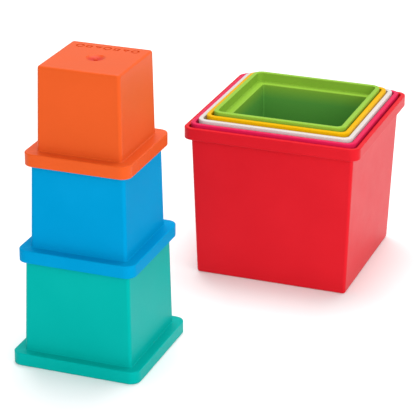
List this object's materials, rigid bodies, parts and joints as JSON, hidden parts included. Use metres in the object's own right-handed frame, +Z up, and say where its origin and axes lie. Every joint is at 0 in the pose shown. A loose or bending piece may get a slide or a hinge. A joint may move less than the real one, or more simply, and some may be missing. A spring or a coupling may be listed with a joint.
{
  "type": "stacking cup set",
  "caption": "Square nesting and stacking cups: a tower standing mouth down, and a nest of larger cups mouth up.",
  "frame": {"origin": "on the table, at the middle of the footprint of the tower and the nest together", "axes": "+Z up, +Y from the tower towards the nest along the longest side of the footprint, +X to the right; every cup's sides are parallel to X and Y"},
  "size_m": [0.1296, 0.2136, 0.1439],
  "materials": {
    "red_plastic": "satin moulded polypropylene, slightly polished",
    "pink_plastic": "satin moulded polypropylene, slightly polished",
    "white_plastic": "satin moulded polypropylene, slightly polished",
    "yellow_plastic": "satin moulded polypropylene, slightly polished",
    "green_plastic": "satin moulded polypropylene, slightly polished",
    "teal_plastic": "satin moulded polypropylene, slightly polished",
    "blue_plastic": "satin moulded polypropylene, slightly polished",
    "orange_plastic": "satin moulded polypropylene, slightly polished"
  },
  "bodies": {
    "red_cup": {"red_cup": "red_plastic"},
    "pink_cup": {"pink_cup": "pink_plastic"},
    "white_cup": {"white_cup": "white_plastic"},
    "yellow_cup": {"yellow_cup": "yellow_plastic"},
    "green_cup": {"green_cup": "green_plastic"},
    "teal_cup": {"teal_cup": "teal_plastic"},
    "blue_cup": {"blue_cup": "blue_plastic"},
    "orange_cup": {"orange_cup": "orange_plastic"}
  },
  "joints": [
    {"name": "pink_lift", "type": "slide", "parent": "red_cup", "child": "pink_cup", "axis": [0, 0, 1], "range_m": [0, 0.082]},
    {"name": "white_lift", "type": "slide", "parent": "pink_cup", "child": "white_cup", "axis": [0, 0, 1], "range_m": [0, 0.077]},
    {"name": "yellow_lift", "type": "slide", "parent": "white_cup", "child": "yellow_cup", "axis": [0, 0, 1], "range_m": [0, 0.072]},
    {"name": "green_lift", "type": "slide", "parent": "yellow_cup", "child": "green_cup", "axis": [0, 0, 1], "range_m": [0, 0.067]},
    {"name": "teal_lift", "type": "slide", "parent": "red_cup", "child": "teal_cup", "axis": [0, 0, 1], "range_m": [0, 0.06]},
    {"name": "blue_lift", "type": "slide", "parent": "teal_cup", "child": "blue_cup", "axis": [0, 0, 1], "range_m": [0, 0.055]},
    {"name": "orange_lift", "type": "slide", "parent": "blue_cup", "child": "orange_cup", "axis": [0, 0, 1], "range_m": [0, 0.05]}
  ]
}
